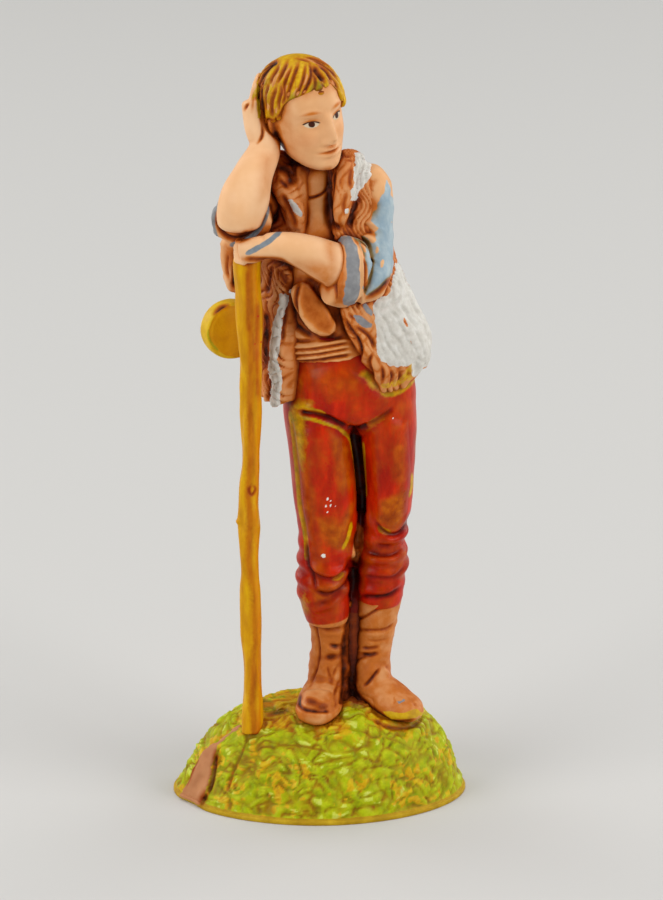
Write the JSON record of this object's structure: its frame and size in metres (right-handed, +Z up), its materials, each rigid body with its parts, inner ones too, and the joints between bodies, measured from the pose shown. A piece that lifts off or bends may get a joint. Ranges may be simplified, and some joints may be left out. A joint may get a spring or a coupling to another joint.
{
  "type": "santon shepherd figurine",
  "caption": "Moulded nativity figurine of a young shepherd leaning on a staff, with flask, sheepskin waistcoat and grassy mound.",
  "frame": {"origin": "middle of the flat underside of the mound", "axes": "+Z up through the figure, -Y the way the shepherd's body faces, +X to the shepherd's left"},
  "size_m": [0.0464, 0.0304, 0.1203],
  "materials": {
    "painted_pvc": "moulded flesh-coloured PVC, hand painted with brown wash in the hollows"
  },
  "bodies": {
    "root": {"shepherd_figure": "painted_pvc"}
  },
  "joints": []
}
